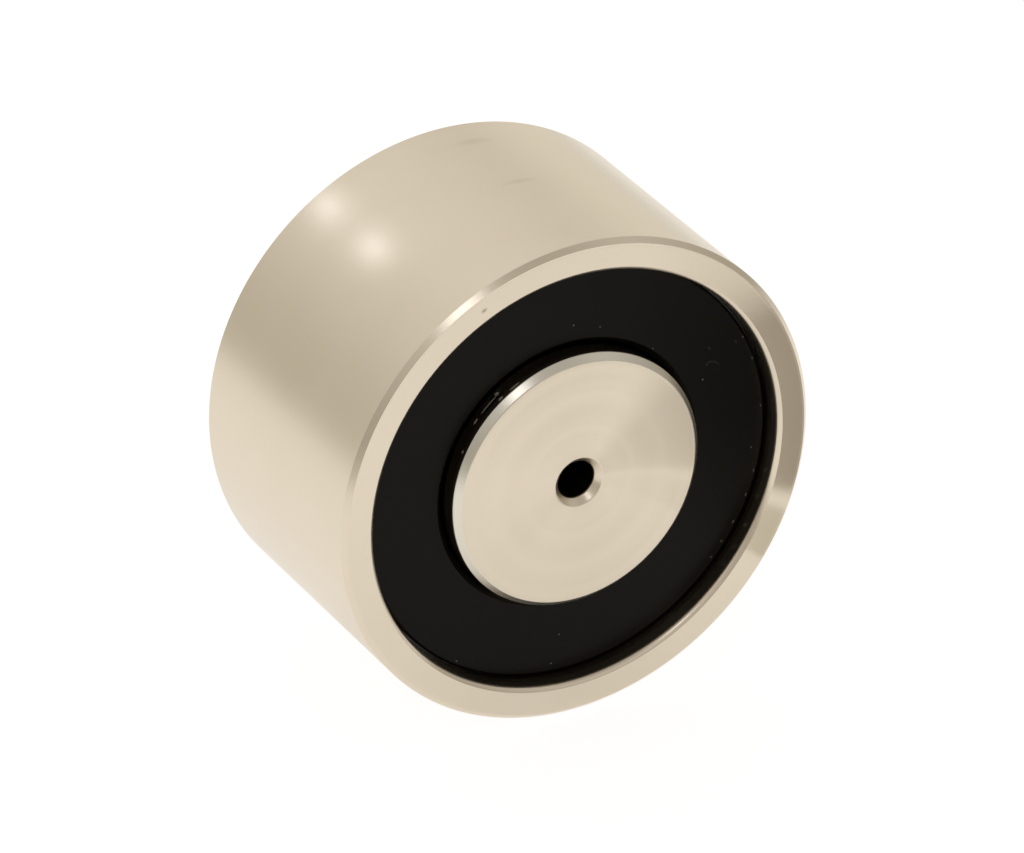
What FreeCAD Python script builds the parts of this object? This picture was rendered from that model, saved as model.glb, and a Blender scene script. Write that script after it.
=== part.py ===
import FreeCAD, Part
import math
import os

# Electromagnetic door holder: a steel pot with a centre pole, and a coil in the ring between them.
# Millimetres. Every piece is drawn about +Z with the rear mounting face at z = 0. Then it is turned so
# that the pole face looks along -Y with +Z up, which is how the holder sits on a wall.

# pot
RIM_WIDTH = 3.65
COIL_SPACE_WIDTH = 9.35
FLOOR_THICKNESS = 7.0
RIM_OUTER_CHAMFER = 0.55
RIM_INNER_CHAMFER = 0.5
REAR_EDGE_CHAMFER = 0.3

# centre pole, drilled right through for an M5 thread, with a mouth at each end
CORE_DIAMETER = 29.0
CORE_CHAMFER = 0.7
SPIGOT_DIAMETER = 14.0
SPIGOT_CHAMFER = 0.4
SPIGOT_SETBACK = 0.2
TAP_DRILL_DIAMETER = 4.2
THREAD_MOUTH_CHAMFER = 0.7

# moulded coil former
FRONT_RECESS = 2.35
FORMER_CORE_CLEARANCE = 0.25
FORMER_POT_CLEARANCE = 0.25
FORMER_TUBE_WALL = 1.2
FORMER_FLANGE = 1.6
FLANGE_INNER_CHAMFER = 0.6
FLANGE_OUTER_CHAMFER = 0.3
FOOT_COUNT = 3
FOOT_WIDTH = 4.0
FOOT_DEPTH = 3.0
FOOT_FROM_TERMINAL = 20.0
PIN_BOSS_WALL = 1.0
PIN_BOSS_HEIGHT = 0.8
LEAD_SLOT_WIDTH = 1.2

# winding, its tape and its two tails
WINDING_LENGTH = 13.45
TAPE_THICKNESS = 0.3
FLANGE_OVER_TAPE = 0.9
TAIL_DIAMETER = 0.4

# terminal pins and diode, in the wiring space behind the coil
PIN_DIAMETER = 1.0
PIN_SEAT_DEPTH = 1.8
PIN_FLOOR_GAP = 0.5
TERMINALS_FROM_OUTLET = 55.0
TERMINAL_SPREAD = 40.0
SOLDER_GAP = 0.1
DIODE_DIAMETER = 2.7
DIODE_LENGTH = 5.2
DIODE_LEG_DIAMETER = 0.7
DIODE_CLEARANCE = 0.65

# lead outlet in the floor
OUTLET_ANGLE = -90.0
OUTLET_DIAMETER = 7.0
OUTLET_CHAMFER = 0.3
LEAD_HOLE_DIAMETER = 4.4
COLLAR_STEP = 1.0
COLLAR_THICKNESS = 1.5
GROMMET_SETBACK = 0.4
GROMMET_MOUTH_CHAMFER = 0.4

# two lengths this close are the same, when an edge is looked up
SAME = 0.001

# radii, from the middle outwards
drill_radius = TAP_DRILL_DIAMETER / 2
spigot_radius = SPIGOT_DIAMETER / 2
core_radius = CORE_DIAMETER / 2
pot_bore_radius = core_radius + COIL_SPACE_WIDTH
body_radius = pot_bore_radius + RIM_WIDTH
former_bore_radius = core_radius + FORMER_CORE_CLEARANCE
tube_radius = former_bore_radius + FORMER_TUBE_WALL
flange_radius = pot_bore_radius - FORMER_POT_CLEARANCE
tape_radius = flange_radius - FLANGE_OVER_TAPE
winding_radius = tape_radius - TAPE_THICKNESS
middle_radius = core_radius + COIL_SPACE_WIDTH / 2
boss_radius = PIN_DIAMETER / 2 + PIN_BOSS_WALL

# heights, from the rear face forwards
floor_top = FLOOR_THICKNESS
wiring_top = floor_top + DIODE_DIAMETER + 2 * DIODE_CLEARANCE
winding_start = wiring_top + FORMER_FLANGE
winding_end = winding_start + WINDING_LENGTH
former_front = winding_end + FORMER_FLANGE
pole_plane = former_front + FRONT_RECESS
boss_bottom = wiring_top - PIN_BOSS_HEIGHT
diode_height = floor_top + DIODE_DIAMETER / 2 + DIODE_CLEARANCE
tail_height = (boss_bottom + diode_height + DIODE_LEG_DIAMETER / 2) / 2

# angles round the axis, in degrees
terminal_middle = OUTLET_ANGLE + TERMINALS_FROM_OUTLET
start_pin_angle = terminal_middle - TERMINAL_SPREAD / 2
finish_pin_angle = terminal_middle + TERMINAL_SPREAD / 2
slot_from_pin = math.degrees((boss_radius + LEAD_SLOT_WIDTH) / middle_radius)
start_slot_angle = start_pin_angle - slot_from_pin
finish_slot_angle = finish_pin_angle + slot_from_pin
first_foot_angle = finish_pin_angle + FOOT_FROM_TERMINAL

# how a sweep goes round a corner
MITRED = 1

UP = FreeCAD.Vector(0, 0, 1)
CENTRE = FreeCAD.Vector(0, 0, 0)


def on_ring(radius, angle, height):
    turn = math.radians(angle)
    return FreeCAD.Vector(radius * math.cos(turn), radius * math.sin(turn), height)


def turned(*profile):
    """Spin a closed outline of (radius, height) corners about the axis."""
    corners = [FreeCAD.Vector(radius, 0, height) for radius, height in profile]
    outline = Part.makePolygon(corners + corners[:1])
    return Part.Face(outline).revolve(CENTRE, UP, 360)


def ring(inner, outer, bottom, top):
    return turned((inner, bottom), (outer, bottom), (outer, top), (inner, top))


def post(radius, base, top):
    """An upright round post or hole, from a point up to a height."""
    return Part.makeCylinder(radius, top - base.z, base)


def rims(shape, radius, height):
    """The circular edges of a shape with this radius at this height."""
    found = []
    for edge in shape.Edges:
        curve = edge.Curve
        if not isinstance(curve, Part.Circle):
            continue
        if abs(curve.Radius - radius) < SAME and abs(curve.Center.z - height) < SAME:
            found.append(edge)
    return found


def radial_bar(angle, width, inner, outer, bottom, top):
    """A straight bar that runs outwards at an angle, for slots and feet."""
    bar = Part.makeBox(outer - inner, width, top - bottom, FreeCAD.Vector(inner, -width / 2, bottom))
    bar.rotate(CENTRE, UP, angle)
    return bar


def rod(radius, start, end):
    return Part.makeCylinder(radius, start.distanceToPoint(end), start, end - start)


def pot_housing():
    pot = turned(
        (spigot_radius, 0),
        (body_radius, 0),
        (body_radius, pole_plane),
        (pot_bore_radius, pole_plane),
        (pot_bore_radius, floor_top),
        (spigot_radius, floor_top),
    )
    pot = pot.makeChamfer(REAR_EDGE_CHAMFER, rims(pot, body_radius, 0))
    pot = pot.makeChamfer(RIM_OUTER_CHAMFER, rims(pot, body_radius, pole_plane))
    pot = pot.makeChamfer(RIM_INNER_CHAMFER, rims(pot, pot_bore_radius, pole_plane))
    pot = pot.cut(post(OUTLET_DIAMETER / 2, on_ring(middle_radius, OUTLET_ANGLE, 0), floor_top))
    pot = pot.makeChamfer(OUTLET_CHAMFER, rims(pot, OUTLET_DIAMETER / 2, 0))
    collar_seat = on_ring(middle_radius, OUTLET_ANGLE, floor_top - COLLAR_THICKNESS)
    return pot.cut(post(OUTLET_DIAMETER / 2 + COLLAR_STEP, collar_seat, floor_top))


def pole_core():
    core = turned(
        (drill_radius, SPIGOT_SETBACK),
        (spigot_radius, SPIGOT_SETBACK),
        (spigot_radius, floor_top),
        (core_radius, floor_top),
        (core_radius, pole_plane),
        (drill_radius, pole_plane),
    )
    core = core.makeChamfer(SPIGOT_CHAMFER, rims(core, spigot_radius, SPIGOT_SETBACK))
    core = core.makeChamfer(CORE_CHAMFER, rims(core, core_radius, pole_plane))
    mouths = rims(core, drill_radius, SPIGOT_SETBACK) + rims(core, drill_radius, pole_plane)
    return core.makeChamfer(THREAD_MOUTH_CHAMFER, mouths)


def pin_hole(angle):
    return post(PIN_DIAMETER / 2, on_ring(middle_radius, angle, boss_bottom), boss_bottom + PIN_SEAT_DEPTH)


def coil_former():
    former = turned(
        (former_bore_radius, wiring_top),
        (flange_radius, wiring_top),
        (flange_radius, winding_start),
        (tube_radius, winding_start),
        (tube_radius, winding_end),
        (flange_radius, winding_end),
        (flange_radius, former_front),
        (former_bore_radius, former_front),
    )
    former = former.makeChamfer(FLANGE_INNER_CHAMFER, rims(former, former_bore_radius, former_front))
    former = former.makeChamfer(FLANGE_OUTER_CHAMFER, rims(former, flange_radius, former_front))
    foot_band = ring(former_bore_radius, former_bore_radius + FOOT_DEPTH, floor_top, wiring_top)
    for foot in range(FOOT_COUNT):
        angle = first_foot_angle + foot * 360 / FOOT_COUNT
        bar = radial_bar(angle, FOOT_WIDTH, 0, flange_radius, floor_top, wiring_top)
        former = former.fuse(foot_band.common(bar))
    for angle in (start_pin_angle, finish_pin_angle):
        former = former.fuse(post(boss_radius, on_ring(middle_radius, angle, boss_bottom), wiring_top))
        former = former.cut(pin_hole(angle))
    for angle in (start_slot_angle, finish_slot_angle):
        former = former.cut(
            radial_bar(angle, LEAD_SLOT_WIDTH, tube_radius, body_radius, wiring_top, winding_start)
        )
    return former.removeSplitter()


def winding_tail(radius, slot_angle, pin_angle):
    """One end of the wire: out of the winding through its slot, then over to its pin."""
    inside = on_ring(radius, slot_angle, winding_start + TAIL_DIAMETER)
    corner = on_ring(radius, slot_angle, tail_height)
    pin = on_ring(middle_radius, pin_angle, tail_height)
    across = (pin - corner).normalize()
    tip = pin - across * (PIN_DIAMETER / 2 + SOLDER_GAP)
    path = Part.makePolygon([inside, corner, tip])
    section = Part.Wire([Part.makeCircle(TAIL_DIAMETER / 2, inside, UP)])
    return path.makePipeShell([section], True, True, MITRED)


def coil_winding():
    winding = ring(tube_radius, winding_radius, winding_start, winding_end)
    first_layer = tube_radius + TAIL_DIAMETER
    last_layer = winding_radius - TAIL_DIAMETER
    winding = winding.fuse(winding_tail(first_layer, start_slot_angle, start_pin_angle))
    return winding.fuse(winding_tail(last_layer, finish_slot_angle, finish_pin_angle))


def winding_tape():
    return ring(winding_radius, tape_radius, winding_start, winding_end)


def terminal_pins():
    pins = []
    for angle in (start_pin_angle, finish_pin_angle):
        tip = on_ring(middle_radius, angle, floor_top + PIN_FLOOR_GAP)
        pins.append(post(PIN_DIAMETER / 2, tip, boss_bottom + PIN_SEAT_DEPTH))
    return Part.makeCompound(pins)


def suppression_diode():
    start = on_ring(middle_radius, start_pin_angle, diode_height)
    finish = on_ring(middle_radius, finish_pin_angle, diode_height)
    along = (finish - start).normalize()
    middle = (start + finish) * 0.5
    half_body = along * (DIODE_LENGTH / 2)
    body = rod(DIODE_DIAMETER / 2, middle - half_body, middle + half_body)
    to_pin = along * (PIN_DIAMETER / 2 + SOLDER_GAP)
    return body.fuse(rod(DIODE_LEG_DIAMETER / 2, start + to_pin, finish - to_pin))


def outlet_grommet():
    lead_radius = LEAD_HOLE_DIAMETER / 2
    sleeve_radius = OUTLET_DIAMETER / 2
    collar_radius = sleeve_radius + COLLAR_STEP
    collar_bottom = floor_top - COLLAR_THICKNESS
    grommet = turned(
        (lead_radius, GROMMET_SETBACK),
        (sleeve_radius, GROMMET_SETBACK),
        (sleeve_radius, collar_bottom),
        (collar_radius, collar_bottom),
        (collar_radius, floor_top),
        (lead_radius, floor_top),
    )
    grommet = grommet.makeChamfer(GROMMET_MOUTH_CHAMFER, rims(grommet, lead_radius, GROMMET_SETBACK))
    grommet.translate(on_ring(middle_radius, OUTLET_ANGLE, 0))
    return grommet


def potting_resin(inner_pieces):
    """Fills the wiring space, the lead slots and the gap round the coil, up to the front flange."""
    behind = ring(core_radius, pot_bore_radius, floor_top, wiring_top)
    around = ring(former_bore_radius, pot_bore_radius, wiring_top, winding_end)
    resin = behind.fuse(around)
    for piece in inner_pieces:
        resin = resin.cut(piece)
    return resin.removeSplitter()


former = coil_former()
winding = coil_winding()
tape = winding_tape()
pins = terminal_pins()
diode = suppression_diode()

pieces = {
    "pot_housing": pot_housing(),
    "pole_core": pole_core(),
    "coil_former": former,
    "coil_winding": winding,
    "winding_tape": tape,
    "terminal_pins": pins,
    "suppression_diode": diode,
    "potting_resin": potting_resin([former, winding, tape, pins, diode]),
    "outlet_grommet": outlet_grommet(),
}

os.makedirs("parts", exist_ok=True)
for name, shape in pieces.items():
    shape.rotate(CENTRE, FreeCAD.Vector(1, 0, 0), 90)
    shape.exportStep("parts/" + name + ".step")
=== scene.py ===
import math

import bmesh
import bpy
from mathutils import Matrix, Vector


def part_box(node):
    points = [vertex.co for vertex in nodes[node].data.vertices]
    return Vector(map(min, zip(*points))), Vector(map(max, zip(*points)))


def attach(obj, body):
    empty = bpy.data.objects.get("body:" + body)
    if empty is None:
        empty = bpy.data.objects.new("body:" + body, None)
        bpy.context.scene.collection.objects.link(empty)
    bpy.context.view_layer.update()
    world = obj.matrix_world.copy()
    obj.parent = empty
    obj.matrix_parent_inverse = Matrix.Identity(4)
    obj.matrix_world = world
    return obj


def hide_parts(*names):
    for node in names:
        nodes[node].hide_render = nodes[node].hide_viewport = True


# Electromagnetic door holder, dressed for the eye. Metres, in the frame of the solids: the rear mounting
# face lies at y = 0, the pole face looks along -Y at y = -30 mm, and +Z is up.

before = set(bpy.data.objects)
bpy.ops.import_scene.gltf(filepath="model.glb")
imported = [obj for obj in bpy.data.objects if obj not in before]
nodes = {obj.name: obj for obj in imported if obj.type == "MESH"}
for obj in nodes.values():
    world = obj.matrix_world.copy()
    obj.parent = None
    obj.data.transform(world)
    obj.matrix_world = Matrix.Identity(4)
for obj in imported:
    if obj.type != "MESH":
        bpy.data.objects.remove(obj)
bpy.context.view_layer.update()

MM = 0.001

# main sizes, as in the solids
BODY_RADIUS = 27.5 * MM
POT_BORE_RADIUS = 23.85 * MM
POLE_PLANE = -30.0 * MM
POT_FLOOR = -7.0 * MM
RIM_OUTER_CHAMFER = 0.55 * MM
RIM_INNER_CHAMFER = 0.5 * MM
REAR_EDGE_CHAMFER = 0.3 * MM
CORE_RADIUS = 14.5 * MM
CORE_CHAMFER = 0.7 * MM
SPIGOT_RADIUS = 7.0 * MM
SPIGOT_END = -0.2 * MM
SPIGOT_CHAMFER = 0.4 * MM
DRILL_RADIUS = 2.1 * MM
DRILL_CHAMFER = 0.7 * MM
OUTLET_HEIGHT = -19.175 * MM
OUTLET_RADIUS = 3.5 * MM
OUTLET_CHAMFER = 0.3 * MM
COLLAR_RADIUS = 4.5 * MM
COLLAR_SEAT = -5.5 * MM
LEAD_RADIUS = 2.2 * MM
GROMMET_END = -0.4 * MM

# the tool that cuts the outlet reaches this far into the pot, clear of its floor
OUTLET_OVERRUN = 1.0 * MM

# rounds on the grommet: at the mouth of its hole, and at its outer edge
GROMMET_MOUTH_ROUND = 0.4 * MM
GROMMET_MOUTH_STEPS = 5
GROMMET_EDGE_ROUND = 0.3 * MM
GROMMET_EDGE_STEPS = 4

# M5 thread, cut from the rear: it starts just outside the core, where the countersink takes it away
THREAD_ROOT_RADIUS = 2.5 * MM
THREAD_PITCH = 0.8 * MM
THREAD_TURNS = 19
THREAD_STEPS = 48
THREAD_SECTION_SIDES = 4
THREAD_BOTTOM = -16.5 * MM
THREAD_CREST_WIDTH = 0.2 * MM
THREAD_ROOT_WIDTH = 0.7 * MM
THREAD_START = SPIGOT_END + THREAD_ROOT_WIDTH / 2
THREAD_SUNK = 0.03 * MM
REAR_MOUTH_DEPTH = DRILL_RADIUS + DRILL_CHAMFER - THREAD_ROOT_RADIUS

# edges that are sharp on the drawing are broken this much on the real piece
BROKEN_EDGE = 0.08 * MM
BROKEN_STEPS = 2
SHARP_ANGLE = math.radians(30)

# the lip of the front countersink is rounded this much where it meets the bore
BORE_LIP = 0.15 * MM
BORE_LIP_STEPS = 4

# the chamfer inside the rim is cut a little flatter than 45 degrees, and its lip is rounder
RIM_INNER_DEPTH = 0.39 * MM
RIM_INNER_LIP = 0.3 * MM
RIM_INNER_LIP_STEPS = 8

# fine line that the tool leaves in a face, just inside its chamfer
TOOL_LINE_INSET = 0.15 * MM
TOOL_LINE_WIDTH = 0.05 * MM
TOOL_LINE_DEPTH = 0.007 * MM

# sides round a large turned piece, and round a small one
LARGE_ROUND = 256
SMALL_ROUND = 96

# the thread starts a sixth of a side on, so that none of its edges meets an edge of the bore
THREAD_LEAD = math.tau / LARGE_ROUND / 6

# two places this close are the same, when a face or an edge is looked up
SAME = 0.004 * MM

# corners this close are merged
DOUBLES = SAME / 10

# how much of a face's normal lies along the axis: more than the first in an end, less than the second in a
# wall
ALONG_AXIS = 0.95
ACROSS_AXIS = 0.1

# faces that meet at less than this angle are shaded as one
TURNED_SMOOTH = math.radians(12)
MOULDED_SMOOTH = math.radians(35)

# large faces decide the shading at an edge, as far as the modifier goes
LARGE_FACE_WEIGHT = 100

TOWARDS_DOOR = -1
TOWARDS_WALL = 1


# shaping

def round_bar(name, radius, front, rear, height=0.0, sides=LARGE_ROUND):
    """Start a piece as a round bar along Y, and leave it open in edit mode."""
    bpy.ops.object.select_all(action="DESELECT")
    bpy.ops.mesh.primitive_cylinder_add(
        vertices=sides,
        radius=radius,
        depth=rear - front,
        location=(0, (front + rear) / 2, height),
        rotation=(math.pi / 2, 0, 0),
    )
    piece = bpy.context.object
    piece.name = name
    piece.data.name = name
    bpy.ops.object.transform_apply(location=True, rotation=True, scale=True)
    bpy.ops.object.mode_set(mode="EDIT")
    return piece


def pick_cap(piece, depth, facing, height=0.0):
    """Select the flat end that lies on the axis at this depth and faces the door or the wall."""
    bpy.ops.mesh.select_mode(type="FACE")
    bpy.ops.mesh.select_all(action="DESELECT")
    mesh = bmesh.from_edit_mesh(piece.data)
    for face in mesh.faces:
        middle = face.calc_center_median()
        on_axis = math.hypot(middle.x, middle.z - height) < SAME
        at_depth = abs(middle.y - depth) < SAME
        face.select_set(on_axis and at_depth and face.normal.y * facing > ALONG_AXIS)
    bmesh.update_edit_mesh(piece.data)


def pick_ring(piece, radius, depth, height=0.0):
    """Select the circle of edges with this radius at this depth."""
    bpy.ops.mesh.select_mode(type="EDGE")
    bpy.ops.mesh.select_all(action="DESELECT")
    mesh = bmesh.from_edit_mesh(piece.data)
    for edge in mesh.edges:
        ends = [corner.co for corner in edge.verts]
        at_radius = all(abs(math.hypot(p.x, p.z - height) - radius) < SAME for p in ends)
        if at_radius and all(abs(p.y - depth) < SAME for p in ends):
            edge.select_set(True)
    bmesh.update_edit_mesh(piece.data)


def narrow_to(radius, new_radius):
    """Inset the picked round end to a smaller radius."""
    bpy.ops.mesh.inset(thickness=radius - new_radius, depth=0)


def score_line(radius, new_radius):
    """Cut the fine line of a tool into the picked end, on the way to a smaller radius."""
    narrow_to(radius, new_radius)
    bpy.ops.mesh.inset(thickness=TOOL_LINE_WIDTH, depth=-TOOL_LINE_DEPTH)
    bpy.ops.mesh.inset(thickness=TOOL_LINE_WIDTH, depth=TOOL_LINE_DEPTH)
    return new_radius - 2 * TOOL_LINE_WIDTH


def pull(distance):
    """Extrude what is picked along the axis."""
    bpy.ops.mesh.extrude_region_move(TRANSFORM_OT_translate={"value": (0, distance, 0)})


def chamfer(width, steps=1):
    """Bevel the picked edges: one step cuts them flat, and more steps round them."""
    bpy.ops.mesh.bevel(
        offset=width, offset_type="OFFSET", segments=steps, affect="EDGES", clamp_overlap=False
    )


def open_through(piece, first, second, height=0.0):
    """Take out two picked ends, given as (depth, facing), and join their edges into one bore."""
    pick_cap(piece, *first, height)
    bpy.ops.mesh.delete(type="ONLY_FACE")
    pick_cap(piece, *second, height)
    bpy.ops.mesh.delete(type="ONLY_FACE")
    bpy.ops.mesh.select_mode(type="EDGE")
    bpy.ops.mesh.select_non_manifold()
    bpy.ops.mesh.bridge_edge_loops()


def close_shape():
    """Merge doubles, point the faces outwards and leave edit mode."""
    bpy.ops.mesh.select_all(action="SELECT")
    bpy.ops.mesh.remove_doubles(threshold=DOUBLES)
    bpy.ops.mesh.normals_make_consistent(inside=False)
    bpy.ops.object.mode_set(mode="OBJECT")


def join_shapes(piece, tool, operation):
    """Cut a tool out of a piece, or weld it on, and throw the tool away."""
    bpy.context.view_layer.objects.active = piece
    change = piece.modifiers.new("joined", "BOOLEAN")
    change.operation = operation
    change.solver = "EXACT"
    change.object = tool
    bpy.ops.object.modifier_apply(modifier=change.name)
    bpy.data.objects.remove(tool)


def break_edges(piece):
    """Round the sharp edges a little."""
    bpy.context.view_layer.objects.active = piece
    change = piece.modifiers.new("broken edges", "BEVEL")
    change.width = BROKEN_EDGE
    change.segments = BROKEN_STEPS
    change.limit_method = "ANGLE"
    change.angle_limit = SHARP_ANGLE
    bpy.ops.object.modifier_apply(modifier=change.name)


def shade(piece):
    """Smooth shading round the turned faces, with the flat ones kept flat."""
    bpy.ops.object.select_all(action="DESELECT")
    piece.select_set(True)
    bpy.context.view_layer.objects.active = piece
    bpy.ops.object.shade_smooth_by_angle(angle=TURNED_SMOOTH)
    change = piece.modifiers.new("flat faces", "WEIGHTED_NORMAL")
    change.weight = LARGE_FACE_WEIGHT
    change.keep_sharp = True
    bpy.ops.object.modifier_apply(modifier=change.name)


def outlet_tool():
    """The shape of the lead outlet: a stepped hole with a chamfered mouth at the rear."""
    inner_end = POT_FLOOR - OUTLET_OVERRUN
    tool = round_bar("outlet_tool", COLLAR_RADIUS, inner_end, COLLAR_SEAT, OUTLET_HEIGHT, SMALL_ROUND)
    pick_cap(tool, COLLAR_SEAT, TOWARDS_WALL, OUTLET_HEIGHT)
    narrow_to(COLLAR_RADIUS, OUTLET_RADIUS)
    pull(-COLLAR_SEAT - OUTLET_CHAMFER)
    pull(2 * OUTLET_CHAMFER)
    spread = 1 + 2 * OUTLET_CHAMFER / OUTLET_RADIUS
    bpy.ops.transform.resize(value=(spread, 1, spread), center_override=(0, 0, OUTLET_HEIGHT))
    close_shape()
    return tool


def model_pot():
    """The pot: a bar faced and bored to its floor, opened for the spigot and cut for the outlet."""
    pot = round_bar("pot_housing_plated", BODY_RADIUS, POLE_PLANE, 0)
    pick_cap(pot, POLE_PLANE, TOWARDS_DOOR)
    inside_line = score_line(BODY_RADIUS, BODY_RADIUS - RIM_OUTER_CHAMFER - TOOL_LINE_INSET)
    narrow_to(inside_line, POT_BORE_RADIUS)
    pull(POT_FLOOR - POLE_PLANE)
    narrow_to(POT_BORE_RADIUS, SPIGOT_RADIUS)
    pick_cap(pot, 0, TOWARDS_WALL)
    narrow_to(BODY_RADIUS, SPIGOT_RADIUS)
    open_through(pot, (POT_FLOOR, TOWARDS_DOOR), (0, TOWARDS_WALL))
    pick_ring(pot, BODY_RADIUS, POLE_PLANE)
    chamfer(RIM_OUTER_CHAMFER)
    pick_ring(pot, POT_BORE_RADIUS, POLE_PLANE)
    chamfer(RIM_INNER_CHAMFER)
    pick_ring(pot, POT_BORE_RADIUS, POLE_PLANE + RIM_INNER_CHAMFER)
    bpy.ops.transform.translate(value=(0, RIM_INNER_DEPTH - RIM_INNER_CHAMFER, 0))
    chamfer(RIM_INNER_LIP, RIM_INNER_LIP_STEPS)
    pick_ring(pot, BODY_RADIUS, 0)
    chamfer(REAR_EDGE_CHAMFER)
    close_shape()
    join_shapes(pot, outlet_tool(), "DIFFERENCE")
    break_edges(pot)
    bpy.ops.object.mode_set(mode="EDIT")
    close_shape()
    shade(pot)
    return pot


def thread_ridge():
    """The ridge of the thread: a tapered section wound up the bore, with its foot sunk in the wall."""
    bpy.ops.object.select_all(action="DESELECT")
    foot = THREAD_ROOT_RADIUS + THREAD_SUNK
    bpy.ops.mesh.primitive_plane_add(size=1, location=((DRILL_RADIUS + foot) / 2, THREAD_START, 0))
    ridge = bpy.context.object
    ridge.name = "thread_ridge"
    ridge.scale = (foot - DRILL_RADIUS, THREAD_ROOT_WIDTH, 1)
    bpy.ops.object.transform_apply(location=True, rotation=True, scale=True)
    bpy.ops.object.mode_set(mode="EDIT")
    bpy.ops.mesh.select_mode(type="VERT")
    bpy.ops.mesh.select_all(action="DESELECT")
    section = bmesh.from_edit_mesh(ridge.data)
    for corner in section.verts:
        corner.select_set(corner.co.x < DRILL_RADIUS + SAME)
    bmesh.update_edit_mesh(ridge.data)
    narrowing = THREAD_CREST_WIDTH / THREAD_ROOT_WIDTH
    bpy.ops.transform.resize(value=(1, narrowing, 1), center_override=(0, THREAD_START, 0))
    bpy.ops.object.mode_set(mode="OBJECT")
    ridge.rotation_euler.y = THREAD_LEAD
    bpy.ops.object.transform_apply(location=True, rotation=True, scale=True)
    winding = ridge.modifiers.new("winding", "SCREW")
    winding.axis = "Y"
    winding.screw_offset = -THREAD_PITCH
    winding.iterations = THREAD_TURNS
    winding.steps = THREAD_STEPS
    winding.render_steps = THREAD_STEPS
    winding.use_merge_vertices = False
    bpy.ops.object.modifier_apply(modifier=winding.name)
    bpy.ops.object.mode_set(mode="EDIT")
    bpy.ops.mesh.select_all(action="SELECT")
    bpy.ops.mesh.fill_holes(sides=THREAD_SECTION_SIDES)
    close_shape()
    return ridge


def countersink_tool():
    """The cone of the rear countersink, a hair inside its wall, to cut the first turn to nothing."""
    reach = DRILL_RADIUS + DRILL_CHAMFER - SAME
    above = 2 * THREAD_ROOT_WIDTH
    bpy.ops.object.select_all(action="DESELECT")
    bpy.ops.mesh.primitive_cone_add(
        vertices=SMALL_ROUND,
        radius1=reach + above,
        radius2=0,
        depth=reach + above,
        location=(0, SPIGOT_END + (above - reach) / 2, 0),
        rotation=(math.pi / 2, 0, 0),
    )
    return bpy.context.object


def model_core():
    """The core: a bar with a spigot at its rear end, drilled right through and tapped from the rear."""
    core = round_bar("pole_core_plated", CORE_RADIUS, POLE_PLANE, POT_FLOOR)
    pick_cap(core, POLE_PLANE, TOWARDS_DOOR)
    inside_line = score_line(CORE_RADIUS, CORE_RADIUS - CORE_CHAMFER - TOOL_LINE_INSET)
    narrow_to(inside_line, DRILL_RADIUS)
    pull(THREAD_BOTTOM - POLE_PLANE)
    pick_cap(core, POT_FLOOR, TOWARDS_WALL)
    narrow_to(CORE_RADIUS, SPIGOT_RADIUS)
    pull(SPIGOT_END - POT_FLOOR)
    narrow_to(SPIGOT_RADIUS, THREAD_ROOT_RADIUS)
    pull(THREAD_BOTTOM + DRILL_CHAMFER - SPIGOT_END)
    open_through(core, (THREAD_BOTTOM, TOWARDS_DOOR), (THREAD_BOTTOM + DRILL_CHAMFER, TOWARDS_WALL))
    pick_ring(core, CORE_RADIUS, POLE_PLANE)
    chamfer(CORE_CHAMFER)
    pick_ring(core, DRILL_RADIUS, POLE_PLANE)
    chamfer(DRILL_CHAMFER)
    pick_ring(core, SPIGOT_RADIUS, SPIGOT_END)
    chamfer(SPIGOT_CHAMFER)
    pick_ring(core, THREAD_ROOT_RADIUS, SPIGOT_END)
    chamfer(REAR_MOUTH_DEPTH)
    pick_ring(core, DRILL_RADIUS, POLE_PLANE + DRILL_CHAMFER)
    chamfer(BORE_LIP, BORE_LIP_STEPS)
    close_shape()
    break_edges(core)
    ridge = thread_ridge()
    join_shapes(ridge, countersink_tool(), "DIFFERENCE")
    join_shapes(core, ridge, "UNION")
    shade(core)
    return core


def model_grommet():
    """The bush in the outlet: a collar inside the pot, a tube through its floor, a hole for the leads."""
    bush = round_bar(
        "outlet_grommet_moulded", COLLAR_RADIUS, POT_FLOOR, COLLAR_SEAT, OUTLET_HEIGHT, SMALL_ROUND
    )
    pick_cap(bush, COLLAR_SEAT, TOWARDS_WALL, OUTLET_HEIGHT)
    narrow_to(COLLAR_RADIUS, OUTLET_RADIUS)
    pull(GROMMET_END - COLLAR_SEAT)
    narrow_to(OUTLET_RADIUS, LEAD_RADIUS)
    pick_cap(bush, POT_FLOOR, TOWARDS_DOOR, OUTLET_HEIGHT)
    narrow_to(COLLAR_RADIUS, LEAD_RADIUS)
    open_through(bush, (POT_FLOOR, TOWARDS_DOOR), (GROMMET_END, TOWARDS_WALL), OUTLET_HEIGHT)
    pick_ring(bush, LEAD_RADIUS, GROMMET_END, OUTLET_HEIGHT)
    chamfer(GROMMET_MOUTH_ROUND, GROMMET_MOUTH_STEPS)
    pick_ring(bush, OUTLET_RADIUS, GROMMET_END, OUTLET_HEIGHT)
    chamfer(GROMMET_EDGE_ROUND, GROMMET_EDGE_STEPS)
    close_shape()
    bpy.ops.object.shade_smooth_by_angle(angle=MOULDED_SMOOTH)
    return bush


# materials

# a mix node has sockets of the same names for every kind of data, so they go by number
COLOUR_A = 6
COLOUR_B = 7
COLOUR_OUT = 2
NUMBER_A = 2
NUMBER_B = 3
NUMBER_OUT = 0

WHITE = (1, 1, 1, 1)


def linear(hex_colour):
    """An sRGB hex colour as linear red, green, blue and alpha."""
    parts = [int(hex_colour[i:i + 2], 16) / 255 for i in (1, 3, 5)]
    return [c / 12.92 if c <= 0.04045 else ((c + 0.055) / 1.055) ** 2.4 for c in parts] + [1.0]


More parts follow.
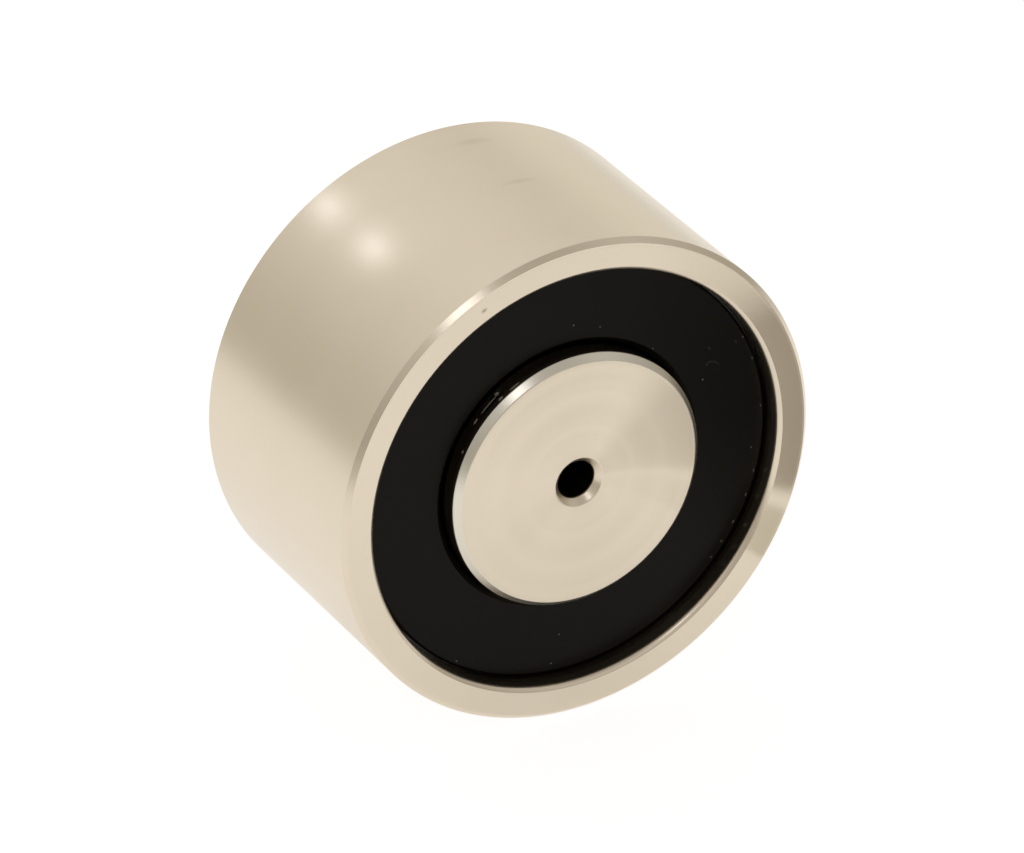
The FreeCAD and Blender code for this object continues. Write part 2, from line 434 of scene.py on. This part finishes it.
def add_node(tree, kind, settings=None, inputs=None):
    """Add a node. An input that is another node's output is linked, and any other value is set."""
    node = tree.nodes.new(kind)
    for name, value in (settings or {}).items():
        setattr(node, name, value)
    for name, value in (inputs or {}).items():
        if isinstance(value, bpy.types.NodeSocket):
            tree.links.new(value, node.inputs[name])
        else:
            node.inputs[name].default_value = value
    return node


def blank(name):
    """A new material and its node tree, with nothing in it."""
    material = bpy.data.materials.new(name)
    material.use_nodes = True
    material.node_tree.nodes.clear()
    return material, material.node_tree


def finish_surface(tree, inputs):
    """End a material's tree with a shader that has these inputs."""
    shader = add_node(tree, "ShaderNodeBsdfPrincipled", inputs=inputs)
    add_node(tree, "ShaderNodeOutputMaterial", inputs={"Surface": shader.outputs["BSDF"]})


def spread_over(tree, place, spots):
    """How much of some marks lies here, 0 to 1. A spot is its angle round the axis in degrees, and its
    radius, depth, length round the axis and width in millimetres."""
    cover = 0.0
    for angle, radius, depth, length, width in spots:
        turn = math.radians(angle)
        local = add_node(
            tree, "ShaderNodeMapping", {"vector_type": "TEXTURE"},
            {
                "Vector": place,
                "Location": (radius * MM * math.cos(turn), depth * MM, radius * MM * math.sin(turn)),
                "Rotation": (0, math.pi / 2 - turn, 0),
                "Scale": (length / 2 * MM, width / 2 * MM, width / 2 * MM),
            },
        ).outputs["Vector"]
        spot = add_node(tree, "ShaderNodeTexGradient", {"gradient_type": "SPHERICAL"}, {"Vector": local})
        cover = add_node(
            tree, "ShaderNodeMath", {"operation": "MAXIMUM"}, {0: spot.outputs["Fac"], 1: cover}
        ).outputs["Value"]
    return cover


# tone of the plating: warm all over, and more silvery on the chamfer of the core
WARM = ("#D9CDBA", "#DFD4C3")
SILVERY = ("#D7D2C5", "#DCD7CB")

# the plating is a little cloudy: size of the clouds, and how far they change its haze
PLATE_CLOUD = 9 * MM
PLATE_HAZE = 0.1

# rings, some duller than others, that the facing tool leaves on the core: their width, and the part of the
# noise that makes them
PASS_WIDTH = 1.8 * MM
PASS_LOW = 0.3
PASS_HIGH = 0.7

# grooves under the plating, drawn wider than real ones, which are too fine to show: their width, and their
# depth in a faced end and in a chamfer
GROOVE_WIDTH = 0.35 * MM
FACING_GROOVE = 0.0004 * MM
TURNING_GROOVE = 0.003 * MM

# roughness of the smoothest plating
POLISHED = 0.178


def nickel_plate(name, roughness, grain=None, groove=0.0, wear_and_painted_glints=None, tint=WARM, passes=0.0):
    """Bright nickel on turned steel: a warm mirror, drawn out by the tool marks under the plating. Grain says
    which way it is drawn out: across the rings of a faced end, or around a wall."""
    material, tree = blank(name)
    place = add_node(tree, "ShaderNodeTexCoord").outputs["Object"]
    outward = add_node(
        tree, "ShaderNodeVectorMath", {"operation": "MULTIPLY"}, {0: place, 1: (1, 0, 1)}
    ).outputs["Vector"]
    radius = add_node(tree, "ShaderNodeVectorMath", {"operation": "LENGTH"}, {0: outward}).outputs["Value"]
    cloud = add_node(
        tree, "ShaderNodeTexNoise", inputs={"Vector": place, "Scale": 1 / PLATE_CLOUD, "Detail": 3.0}
    ).outputs["Fac"]
    tone = add_node(
        tree, "ShaderNodeMix", {"data_type": "RGBA"},
        {"Factor": cloud, COLOUR_A: linear(tint[0]), COLOUR_B: linear(tint[1])},
    ).outputs[COLOUR_OUT]
    clear = roughness * (1 - PLATE_HAZE)
    hazy = roughness * (1 + PLATE_HAZE)
    haze = add_node(
        tree, "ShaderNodeMapRange", inputs={"Value": cloud, "To Min": clear, "To Max": hazy}
    ).outputs["Result"]
    if passes:
        rings = add_node(
            tree, "ShaderNodeTexNoise", {"noise_dimensions": "1D"},
            {"W": radius, "Scale": 1 / PASS_WIDTH, "Detail": 1.0},
        ).outputs["Fac"]
        duller = add_node(
            tree, "ShaderNodeMapRange",
            inputs={
                "Value": rings,
                "From Min": PASS_LOW,
                "From Max": PASS_HIGH,
                "To Min": 1 - passes,
                "To Max": 1 + passes,
            },
        ).outputs["Result"]
        haze = add_node(
            tree, "ShaderNodeMath", {"operation": "MULTIPLY"}, {0: haze, 1: duller}
        ).outputs["Value"]
    metal = 1.0
    if wear_and_painted_glints:
        cover = spread_over(tree, place, wear_and_painted_glints["spots"])
        firm = add_node(
            tree, "ShaderNodeMapRange", inputs={"Value": cover, "From Max": wear_and_painted_glints["edge"]}
        ).outputs["Result"]
        tone = add_node(
            tree, "ShaderNodeMix", {"data_type": "RGBA"},
            {"Factor": firm, COLOUR_A: tone, COLOUR_B: linear(wear_and_painted_glints["colour"])},
        ).outputs[COLOUR_OUT]
        haze = add_node(
            tree, "ShaderNodeMix", {"data_type": "FLOAT"},
            {"Factor": firm, NUMBER_A: haze, NUMBER_B: wear_and_painted_glints["roughness"]},
        ).outputs[NUMBER_OUT]
        # a dull mark is not metal, so it keeps its pale colour whatever the nickel mirrors: the painted
        # glints of the scuffs
        if wear_and_painted_glints["dull"]:
            metal = add_node(
                tree, "ShaderNodeMapRange", inputs={"Value": firm, "To Min": 1.0, "To Max": 0.0}
            ).outputs["Result"]
    inputs = {"Base Color": tone, "Metallic": metal, "Roughness": haze}
    if grain:
        if grain == "across":
            lie = outward
        else:
            lie = add_node(
                tree, "ShaderNodeVectorMath", {"operation": "CROSS_PRODUCT"}, {0: outward, 1: (0, 1, 0)}
            ).outputs["Vector"]
        inputs["Tangent"] = add_node(
            tree, "ShaderNodeVectorMath", {"operation": "NORMALIZE"}, {0: lie}
        ).outputs["Vector"]
        inputs["Anisotropic"] = 1.0
    if groove:
        marks = add_node(
            tree, "ShaderNodeTexNoise", {"noise_dimensions": "1D"},
            {"W": radius, "Scale": 1 / GROOVE_WIDTH, "Detail": 2.0},
        ).outputs["Fac"]
        inputs["Normal"] = add_node(
            tree, "ShaderNodeBump", inputs={"Height": marks, "Distance": groove, "Strength": 1.0}
        ).outputs["Normal"]
    finish_surface(tree, inputs)
    return material


# grain of the black ring, drawn wider than real grain, which is too fine to show
NYLON_GRAIN = 0.25 * MM
NYLON_GRAIN_HEIGHT = 0.002 * MM

# depth of the front of the black ring, in millimetres
RING_FACE = -27.65

# marks on the black ring, as angle in degrees, and radius, length and width in millimetres: dust, most of it
# towards the rim, fainter specks, and one short hair that bends along its spots
DUST = (
    (26.5, 23.2, 0.3, 0.28), (19, 23.2, 0.4, 0.2), (22.4, 17.3, 0.28, 0.28), (4, 23.1, 0.3, 0.18),
    (-8, 22.2, 0.3, 0.16), (-15, 23.1, 0.5, 0.16), (-22, 23.1, 0.45, 0.2), (-30, 23.0, 0.5, 0.24),
    (-36, 22.9, 0.36, 0.2), (-41, 22.9, 0.3, 0.18), (-95, 22.5, 0.3, 0.18), (-93, 19.2, 0.26, 0.2),
    (-125, 23.0, 0.3, 0.2), (50, 15.5, 0.3, 0.16), (77, 16.5, 0.24, 0.18), (88, 17.1, 0.3, 0.22),
)
HAIR = (
    (26.5, 18.37, 0.4, 0.36), (26.7, 18.61, 0.3, 0.36), (26.8, 18.83, 0.3, 0.36), (26.3, 19.03, 0.3, 0.32),
    (25.8, 19.23, 0.3, 0.32), (25.1, 19.39, 0.3, 0.3), (24.2, 19.52, 0.4, 0.26),
)
FAINT_SPECKS = ((31.1, 19.54, 0.7, 0.3), (26.7, 22.3, 0.6, 0.3))


def moulded_nylon():
    """Glass-filled nylon, moulded matt black: a soft grey sheen, fine grain, dust and a hair."""
    material, tree = blank("black nylon, moulded matt")
    place = add_node(tree, "ShaderNodeTexCoord").outputs["Object"]
    grain = add_node(
        tree, "ShaderNodeTexNoise", inputs={"Vector": place, "Scale": 1 / NYLON_GRAIN, "Detail": 2.0}
    ).outputs["Fac"]
    bump = add_node(
        tree, "ShaderNodeBump", inputs={"Height": grain, "Distance": NYLON_GRAIN_HEIGHT, "Strength": 1.0}
    ).outputs["Normal"]
    tone = add_node(
        tree, "ShaderNodeMix", {"data_type": "RGBA"},
        {"Factor": grain, COLOUR_A: linear("#040404"), COLOUR_B: linear("#080807")},
    ).outputs[COLOUR_OUT]
    for marks, colour in ((DUST, "#8F8C85"), (HAIR + FAINT_SPECKS, "#3A3937")):
        spots = [(angle, radius, RING_FACE, length, width) for angle, radius, length, width in marks]
        tone = add_node(
            tree, "ShaderNodeMix", {"data_type": "RGBA"},
            {"Factor": spread_over(tree, place, spots), COLOUR_A: tone, COLOUR_B: linear(colour)},
        ).outputs[COLOUR_OUT]
    finish_surface(
        tree,
        {
            "Base Color": tone,
            "Roughness": 0.28,
            "Specular IOR Level": 0.11,
            "Specular Tint": linear("#FFF4E8"),
            "Normal": bump,
        },
    )
    return material


# height of the mottling on a plain body, as a share of its width
FLECK_RELIEF = 1 / 20


def flecked(name, dark, pale, fleck, roughness, metallic=0.0):
    """A plain body colour with fine mottling, for bare steel in the bores and for rubber."""
    material, tree = blank(name)
    place = add_node(tree, "ShaderNodeTexCoord").outputs["Object"]
    mottle = add_node(
        tree, "ShaderNodeTexNoise", inputs={"Vector": place, "Scale": 1 / fleck, "Detail": 4.0}
    ).outputs["Fac"]
    tone = add_node(
        tree, "ShaderNodeMix", {"data_type": "RGBA"},
        {"Factor": mottle, COLOUR_A: linear(dark), COLOUR_B: linear(pale)},
    ).outputs[COLOUR_OUT]
    bump = add_node(
        tree, "ShaderNodeBump", inputs={"Height": mottle, "Distance": fleck * FLECK_RELIEF, "Strength": 0.5}
    ).outputs["Normal"]
    finish_surface(tree, {"Base Color": tone, "Metallic": metallic, "Roughness": roughness, "Normal": bump})
    return material


# sizes of what the inner pieces show
WIRE_PITCH = 0.4 * MM
WIRE_RELIEF = 0.1 * MM
TAPE_LAP = 4.5 * MM
TAPE_RELIEF = 0.05 * MM
WOUND_MOTTLE = 2 * MM
PIN_LINE_WIDTH = 0.08 * MM
PIN_LINE_RELIEF = 0.003 * MM
PIN_STRETCH = (1.0, 0.02, 1.0)
DIODE_SLANT = math.radians(55)
DIODE_HALF_LENGTH = 2.6 * MM
DIODE_BAND_PLACE = 1.7 * MM
DIODE_BAND_WIDTH = 0.6 * MM
DIODE_GRAIN = 0.3 * MM
RESIN_CLOUD = 5 * MM
BUBBLE_SPACING = 2.5 * MM
BUBBLE_DEPTH = 0.1 * MM

# radius of a bubble, as a share of the spacing
BUBBLE_SHARE = 0.12

# a wave texture of scale 1 runs through this many radians in a metre
WAVE_RADIANS = 20


def laid_bands(name, profile, pitch, dark, pale, relief, finish):
    """Bands side by side along the axis, each raised a little, for what is wound on the coil."""
    material, tree = blank(name)
    place = add_node(tree, "ShaderNodeTexCoord").outputs["Object"]
    bands = add_node(
        tree, "ShaderNodeTexWave", {"bands_direction": "Y", "wave_profile": profile},
        {"Vector": place, "Scale": math.tau / WAVE_RADIANS / pitch},
    ).outputs["Fac"]
    mottle = add_node(
        tree, "ShaderNodeTexNoise", inputs={"Vector": place, "Scale": 1 / WOUND_MOTTLE, "Detail": 3.0}
    ).outputs["Fac"]
    mixed = add_node(
        tree, "ShaderNodeMath", {"operation": "MULTIPLY"}, {0: bands, 1: mottle}
    ).outputs["Value"]
    tone = add_node(
        tree, "ShaderNodeMix", {"data_type": "RGBA"},
        {"Factor": mixed, COLOUR_A: linear(dark), COLOUR_B: linear(pale)},
    ).outputs[COLOUR_OUT]
    bump = add_node(
        tree, "ShaderNodeBump", inputs={"Height": bands, "Distance": relief, "Strength": 1.0}
    ).outputs["Normal"]
    finish_surface(tree, {"Base Color": tone, "Normal": bump, **finish})
    return material


def drawn_pin():
    """Brass wire, drawn and tinned: pale grey metal with fine lines along it."""
    material, tree = blank("tinned brass, drawn")
    place = add_node(tree, "ShaderNodeTexCoord").outputs["Object"]
    stretched = add_node(
        tree, "ShaderNodeMapping", inputs={"Vector": place, "Scale": PIN_STRETCH}
    ).outputs["Vector"]
    lines = add_node(
        tree, "ShaderNodeTexNoise", inputs={"Vector": stretched, "Scale": 1 / PIN_LINE_WIDTH, "Detail": 2.0}
    ).outputs["Fac"]
    tone = add_node(
        tree, "ShaderNodeMix", {"data_type": "RGBA"},
        {"Factor": lines, COLOUR_A: linear("#B4B1A7"), COLOUR_B: linear("#D6D4CC")},
    ).outputs[COLOUR_OUT]
    bump = add_node(
        tree, "ShaderNodeBump", inputs={"Height": lines, "Distance": PIN_LINE_RELIEF, "Strength": 1.0}
    ).outputs["Normal"]
    finish_surface(tree, {"Base Color": tone, "Metallic": 1.0, "Roughness": 0.28, "Normal": bump})
    return material


def banded_diode():
    """Moulded black epoxy with a silver band at one end, on tinned copper legs."""
    material, tree = blank("black epoxy, moulded, with silver band")
    place = add_node(tree, "ShaderNodeTexCoord").outputs["Object"]
    middle = [(low + high) / 2 for low, high in zip(*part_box("suppression_diode"))]
    local = add_node(
        tree, "ShaderNodeMapping", {"vector_type": "TEXTURE"},
        {"Vector": place, "Location": middle, "Rotation": (0, -DIODE_SLANT, 0)},
    ).outputs["Vector"]
    along = add_node(tree, "ShaderNodeSeparateXYZ", inputs={"Vector": local}).outputs["X"]
    band = add_node(
        tree, "ShaderNodeMath", {"operation": "COMPARE"},
        {0: along, 1: DIODE_BAND_PLACE, 2: DIODE_BAND_WIDTH / 2},
    ).outputs["Value"]
    from_middle = add_node(tree, "ShaderNodeMath", {"operation": "ABSOLUTE"}, {0: along}).outputs["Value"]
    leg = add_node(
        tree, "ShaderNodeMath", {"operation": "GREATER_THAN"}, {0: from_middle, 1: DIODE_HALF_LENGTH}
    ).outputs["Value"]
    grain = add_node(
        tree, "ShaderNodeTexNoise", inputs={"Vector": place, "Scale": 1 / DIODE_GRAIN, "Detail": 2.0}
    ).outputs["Fac"]
    tone = add_node(
        tree, "ShaderNodeMix", {"data_type": "RGBA"},
        {"Factor": grain, COLOUR_A: linear("#101012"), COLOUR_B: linear("#1C1C1E")},
    ).outputs[COLOUR_OUT]
    for part, colour in ((band, "#B8B8B6"), (leg, "#CFCDC6")):
        tone = add_node(
            tree, "ShaderNodeMix", {"data_type": "RGBA"},
            {"Factor": part, COLOUR_A: tone, COLOUR_B: linear(colour)},
        ).outputs[COLOUR_OUT]
    finish_surface(tree, {"Base Color": tone, "Metallic": leg, "Roughness": 0.38})
    return material


def cast_resin():
    """Dark casting resin, poured and cured: glossy and cloudy, with a few small bubbles."""
    material, tree = blank("dark casting resin, poured")
    place = add_node(tree, "ShaderNodeTexCoord").outputs["Object"]
    cloud = add_node(
        tree, "ShaderNodeTexNoise", inputs={"Vector": place, "Scale": 1 / RESIN_CLOUD, "Detail": 3.0}
    ).outputs["Fac"]
    bubble = add_node(
        tree, "ShaderNodeTexVoronoi", inputs={"Vector": place, "Scale": 1 / BUBBLE_SPACING}
    ).outputs["Distance"]
    hollow = add_node(
        tree, "ShaderNodeMapRange", inputs={"Value": bubble, "From Max": BUBBLE_SHARE}
    ).outputs["Result"]
    tone = add_node(
        tree, "ShaderNodeMix", {"data_type": "RGBA"},
        {"Factor": cloud, COLOUR_A: linear("#15110F"), COLOUR_B: linear("#2A231E")},
    ).outputs[COLOUR_OUT]
    bump = add_node(
        tree, "ShaderNodeBump", inputs={"Height": hollow, "Distance": BUBBLE_DEPTH, "Strength": 1.0}
    ).outputs["Normal"]
    finish_surface(tree, {"Base Color": tone, "Roughness": 0.22, "Normal": bump})
    return material


def dress(thing, *materials):
    """Give a thing these materials and no others."""
    thing.data.materials.clear()
    for material in materials:
        thing.data.materials.append(material)


# handling marks on the nickel: a grey smear and a faint rub on top of the pot, a nick in its rim, and scuffs
# on the side of the core whose glints are painted as pale dull spots, as spots for spread_over
smears = {
    "spots": (
        (86.4, 27.5, -4.4, 5.0, 2.0), (86.7, 27.5, -14.5, 5.0, 1.2), (86.2, 27.5, -14.6, 1.6, 0.8),
    ),
    "edge": 1.0, "colour": "#D2C7B5", "roughness": 0.205, "dull": False,
}
nick = {
    "spots": ((115.8, 25.56, -30.0, 0.9, 0.55),),
    "edge": 0.8, "colour": "#C6B9A5", "roughness": 0.38, "dull": False,
}
# scuffs on the core: pale spots that are not metal, a painted glint that stays pale whatever the wall mirrors
scuffs_with_painted_glints = {
    "spots": (
        (126.2, 14.5, -27.95, 0.6, 0.5), (126.5, 14.5, -28.9, 0.7, 0.4), (131.5, 14.5, -28.15, 3.4, 0.2),
        (140.2, 14.5, -28.15, 0.8, 0.35), (119.0, 14.5, -28.95, 1.5, 0.3), (153.4, 14.5, -28.7, 0.4, 0.3),
    ),
    "edge": 0.6, "colour": "#8A8983", "roughness": 0.6, "dull": True,
}

# faced ends: a mirror that draws the light out towards the axis, as a pale fan on the core
faced_rim = nickel_plate(
    "bright nickel on faced rim", roughness=POLISHED, grain="across", groove=FACING_GROOVE, wear_and_painted_glints=nick
)
faced_core = nickel_plate(
    "bright nickel on faced core", roughness=0.208, grain="across", groove=FACING_GROOVE, passes=0.12
)
# ground walls: a mirror that draws the light out round the wall
ground_pot = nickel_plate(
    "bright nickel on ground pot wall", roughness=POLISHED, grain="around", wear_and_painted_glints=smears
)
ground_core = nickel_plate(
    "bright nickel on ground core wall", roughness=POLISHED, grain="around", wear_and_painted_glints=scuffs_with_painted_glints
)
# turned chamfers and the mouths of the bore: duller mirrors, blurred alike all ways
turned_rim = nickel_plate("bright nickel on turned rim chamfers", roughness=0.24)
turned_core = nickel_plate(
    "bright nickel on turned core chamfer", roughness=0.26, groove=TURNING_GROOVE, tint=SILVERY
)
countersunk = nickel_plate("bright nickel on countersunk mouth", roughness=0.3)
# bare bore: drilled steel, oiled, with painted shade: its colour is kept near black so that the deep hole
# looks black from outside
drilled = flecked(
    "drilled steel, oiled, with painted shade", "#2A241D", "#3A332A", fleck=0.5 * MM, roughness=0.45, metallic=1.0
)
# thread: dull grey metal, between plating and steel
tapped = flecked(
    "tapped steel, thinly plated", "#7A7265", "#958C7D", fleck=0.3 * MM, roughness=0.35, metallic=1.0
)
nylon = moulded_nylon()
# rubber: soft black with hardly any shine
rubber = flecked("black rubber, moulded", "#141414", "#1E1E1E", fleck=0.4 * MM, roughness=0.65)

# material slots of a turned piece, in the order in which dress_turned fills them
TURNED_SLOT = 0
FACED_SLOT = 1
GROUND_SLOT = 2
DRILLED_SLOT = 3
COUNTERSUNK_SLOT = 4
TAPPED_SLOT = 5

# a face this near to the radius of a wall is part of it
ON_WALL = 0.02 * MM


def dress_turned(piece, wall_radius, faced, ground, turned):
    """Faced ends, ground wall, turned chamfers and bores: one finish each."""
    dress(piece, turned, faced, ground, drilled, countersunk, tapped)
    for face in piece.data.polygons:
        middle = face.center
        radius = math.hypot(middle.x, middle.z)
        endwise = abs(face.normal.y)
        in_bore = radius < DRILL_RADIUS + DRILL_CHAMFER and endwise < ALONG_AXIS
        front_mouth = middle.y < POLE_PLANE + DRILL_CHAMFER + BORE_LIP
        rear_mouth = middle.y > SPIGOT_END - REAR_MOUTH_DEPTH
        if in_bore and (front_mouth or rear_mouth):
            face.material_index = COUNTERSUNK_SLOT
        elif in_bore and middle.y > THREAD_BOTTOM:
            face.material_index = TAPPED_SLOT
        elif in_bore:
            face.material_index = DRILLED_SLOT
        elif endwise > ALONG_AXIS:
            face.material_index = FACED_SLOT
        elif endwise < ACROSS_AXIS and abs(radius - wall_radius) < ON_WALL:
            face.material_index = GROUND_SLOT
        else:
            face.material_index = TURNED_SLOT


pot = model_pot()
dress_turned(pot, BODY_RADIUS, faced_rim, ground_pot, turned_rim)
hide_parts("pot_housing")
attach(pot, "root")

core = model_core()
dress_turned(core, CORE_RADIUS, faced_core, ground_core, turned_core)
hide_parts("pole_core")
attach(core, "root")

grommet = model_grommet()
dress(grommet, rubber)
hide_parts("outlet_grommet")
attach(grommet, "root")

dress(nodes["coil_former"], nylon)
# enamelled copper: red-brown glossy ridges, turn beside turn
wound_copper = laid_bands(
    "enamelled copper wire, wound", "SIN", WIRE_PITCH, "#6A3013", "#C97A3C", WIRE_RELIEF,
    {"Metallic": 1.0, "Roughness": 0.28},
)
# polyester film: amber and shiny, with a step where each lap covers the last
wrapped_film = laid_bands(
    "amber polyester film, wrapped", "SAW", TAPE_LAP, "#A87A2A", "#D9AE58", TAPE_RELIEF,
    {"Roughness": 0.25},
)
dress(nodes["coil_winding"], wound_copper)
dress(nodes["winding_tape"], wrapped_film)
dress(nodes["terminal_pins"], drawn_pin())
dress(nodes["suppression_diode"], banded_diode())
dress(nodes["potting_resin"], cast_resin())


# stage

FLOOR_HEIGHT = -BODY_RADIUS
SHEET_WIDTH = 0.4

# light that the sheet gives by itself, to the camera and to a mirror
SHEET_GLOW_SEEN = 0.88
SHEET_GLOW_MIRRORED = 0.47

# light that the sheet throws back, to the camera and to a mirror
PAPER_SEEN = (0.25, 0.25, 0.25, 1)
PAPER_MIRRORED = (0.9, 0.9, 0.9, 1)

# cards on the floor round the sheet, which glow and which only the nickel mirrors: painted reflections that
# darken patches of the floor it mirrors. Name, colour, and the corners as x and y in millimetres
CARDS = (
    ("dark card mirrored on the right in front", "#A49D92", ((36.8, -66.3), (49.5, -99.5), (170, -115), (58.8, -35.6))),
    ("grey card mirrored on the right in front", "#D5D2C5", ((36.8, -62), (47.6, -40), (34, -40), (31.3, -55))),
    ("table to the right", "#E2E1DC", ((200, -400), (1200, -400), (1200, 300), (200, 300))),
    ("table to the left", "#D0CAC2", ((-200, -100), (-200, -900), (-1400, -1200), (-1400, -150))),
)
CARD_LIFT = 0.2 * MM

# numbers of a plane's corners, in order round it
ROUND_THE_PLANE = (0, 1, 3, 2)

# brightness of the room by height: sine of the elevation, and colour
ROOM_SHADES = ((0.0, "#B4B0A6"), (0.2, "#BCB8AF"), (0.5, "#CECBC5"), (0.66, "#DAD7D1"), (0.82, "#BFBBB3"))

# the room is brighter on its far side, and brightest round a window there, low on the right
FAR_SIDE = {"From Min": -0.1, "From Max": 0.6, "To Min": 1.0, "To Max": 1.35}
WINDOW_DIRECTION = (0.64, 0.77, -0.05)
WINDOW_LIGHT = {"From Min": 0.9, "From Max": 1.0, "To Min": 0.0, "To Max": 0.6}

# the two small spots are alike: narrow, and a little cool
SPOT = {"along": (-0.85, 0, -0.525), "length": 0.01, "width": 0.003, "brightness": 2.6, "colour": "#E4EEFF"}

# the view of the photograph
CAMERA_PLACE = (-0.354464, -0.650566, 0.408908)
CAMERA_TILT = math.radians(60.62)
CAMERA_TURN = math.radians(-29.18)
CAMERA_LENS = 281.47
CAMERA_NEAREST = 0.01


def lay_sheet():
    """A white sheet under the holder. A mirror sees more of its shade than the camera does."""
    bpy.ops.mesh.primitive_plane_add(size=SHEET_WIDTH, location=(0, POLE_PLANE / 2, FLOOR_HEIGHT))
    sheet = bpy.context.object
    sheet.name = "sheet"
    material, tree = blank("white paper sheet")
    path = add_node(tree, "ShaderNodeLightPath")
    mirrored = add_node(
        tree, "ShaderNodeMath", {"operation": "MAXIMUM"},
        {0: path.outputs["Is Glossy Ray"], 1: path.outputs["Is Transmission Ray"]},
    ).outputs["Value"]
    to_camera = add_node(
        tree, "ShaderNodeMath", {"operation": "MULTIPLY"},
        {0: path.outputs["Is Camera Ray"], 1: SHEET_GLOW_SEEN},
    ).outputs["Value"]
    glow = add_node(
        tree, "ShaderNodeMath", {"operation": "MULTIPLY_ADD"},
        {0: mirrored, 1: SHEET_GLOW_MIRRORED, 2: to_camera},
    ).outputs["Value"]
    paper = add_node(
        tree, "ShaderNodeMix", {"data_type": "RGBA"},
        {"Factor": mirrored, COLOUR_A: PAPER_SEEN, COLOUR_B: PAPER_MIRRORED},
    ).outputs[COLOUR_OUT]
    light = add_node(tree, "ShaderNodeEmission", inputs={"Color": WHITE, "Strength": glow})
    matt = add_node(tree, "ShaderNodeBsdfDiffuse", inputs={"Color": paper})
    both = add_node(
        tree, "ShaderNodeAddShader", inputs={0: light.outputs["Emission"], 1: matt.outputs["BSDF"]}
    )
    add_node(tree, "ShaderNodeOutputMaterial", inputs={"Surface": both.outputs["Shader"]})
    dress(sheet, material)


def lay_card(name, colour, corners):
    """A flat card, out of the picture, that glows and that only the nickel mirrors: a painted reflection."""
    bpy.ops.mesh.primitive_plane_add(size=1, location=(0, 0, 0))
    card = bpy.context.object
    card.name = name
    for index, (x, y) in zip(ROUND_THE_PLANE, corners):
        card.data.vertices[index].co = (x * MM, y * MM, FLOOR_HEIGHT + CARD_LIFT)
    card.visible_camera = False
    card.visible_diffuse = False
    card.visible_transmission = False
    card.visible_shadow = False
    material, tree = blank(name)
    light = add_node(tree, "ShaderNodeEmission", inputs={"Color": linear(colour), "Strength": 1.0})
    add_node(tree, "ShaderNodeOutputMaterial", inputs={"Surface": light.outputs["Emission"]})
    dress(card, material)


def light_room():
    """A beige room, dimmer towards the horizon and behind the camera, white where the camera sees it."""
    world = bpy.data.worlds.new("room")
    bpy.context.scene.world = world
    world.use_nodes = True
    tree = world.node_tree
    tree.nodes.clear()
    direction = add_node(tree, "ShaderNodeTexCoord").outputs["Generated"]
    parts = add_node(tree, "ShaderNodeSeparateXYZ", inputs={"Vector": direction})
    ramp = add_node(tree, "ShaderNodeValToRGB", inputs={"Fac": parts.outputs["Z"]})
    # new stops start anywhere, and the loop after this one puts all of them in their places
    while len(ramp.color_ramp.elements) < len(ROOM_SHADES):
        ramp.color_ramp.elements.new(0.5)
    for stop, (height, shade_colour) in zip(ramp.color_ramp.elements, ROOM_SHADES):
        stop.position = height
        stop.color = linear(shade_colour)
    wall = ramp.outputs["Color"]
    far = add_node(
        tree, "ShaderNodeMapRange", inputs={"Value": parts.outputs["Y"], **FAR_SIDE}
    ).outputs["Result"]
    to_window = add_node(
        tree, "ShaderNodeVectorMath", {"operation": "DOT_PRODUCT"}, {0: direction, 1: WINDOW_DIRECTION}
    ).outputs["Value"]
    window = add_node(
        tree, "ShaderNodeMapRange", inputs={"Value": to_window, **WINDOW_LIGHT}
    ).outputs["Result"]
    level = add_node(tree, "ShaderNodeMath", {"operation": "ADD"}, {0: far, 1: window}).outputs["Value"]
    room = add_node(tree, "ShaderNodeBackground", inputs={"Color": wall, "Strength": level})
    white = add_node(tree, "ShaderNodeBackground", inputs={"Color": WHITE, "Strength": 1.0})
    path = add_node(tree, "ShaderNodeLightPath")
    shown = add_node(
        tree, "ShaderNodeMixShader",
        inputs={
            0: path.outputs["Is Camera Ray"],
            1: room.outputs["Background"],
            2: white.outputs["Background"],
        },
    )
    add_node(tree, "ShaderNodeOutputWorld", inputs={"Surface": shown.outputs["Shader"]})


def lamp(name, place, target, along, length, width, brightness, colour):
    """A flat lamp at a place, aimed at a target, its length along a direction. Brightness 1 in white looks
    white in a perfect mirror."""
    bpy.ops.object.light_add(type="AREA")
    light = bpy.context.object
    light.name = name
    light.data.shape = "RECTANGLE"
    light.data.size = length
    light.data.size_y = width
    light.data.energy = brightness * math.pi * length * width
    light.data.color = linear(colour)[:3]
    light.visible_camera = False
    back = (Vector(place) - Vector(target)).normalized()
    across = back.cross(Vector(along)).normalized()
    turn = Matrix((across.cross(back), across, back)).transposed()
    light.matrix_world = Matrix.Translation(Vector(place)) @ turn.to_4x4()


def set_camera():
    """A camera with a long lens, where the photograph was taken."""
    bpy.ops.object.camera_add(location=CAMERA_PLACE, rotation=(CAMERA_TILT, 0, CAMERA_TURN))
    camera = bpy.context.object
    camera.data.lens = CAMERA_LENS
    camera.data.clip_start = CAMERA_NEAREST
    bpy.context.scene.camera = camera


lay_sheet()
for card_name, card_colour, card_corners in CARDS:
    lay_card(card_name, card_colour, card_corners)
light_room()
# the softbox makes the glints on the chamfers, and the spots make the two highlights on the wall
lamp(
    "key softbox", place=(-0.14, -0.33, 0.37), target=(0, -0.03, 0), along=(1, 0, 0),
    length=0.11, width=0.11, brightness=2.07, colour="#F4F6FF",
)
lamp("rear spot", place=(-0.0435, 0.0908, 0.0920), target=(-0.0146, -0.0032, 0.0233), **SPOT)
lamp("front spot", place=(-0.0442, 0.0803, 0.0924), target=(-0.0147, -0.0131, 0.0232), **SPOT)
set_camera()

bpy.context.scene.view_settings.view_transform = "Standard"
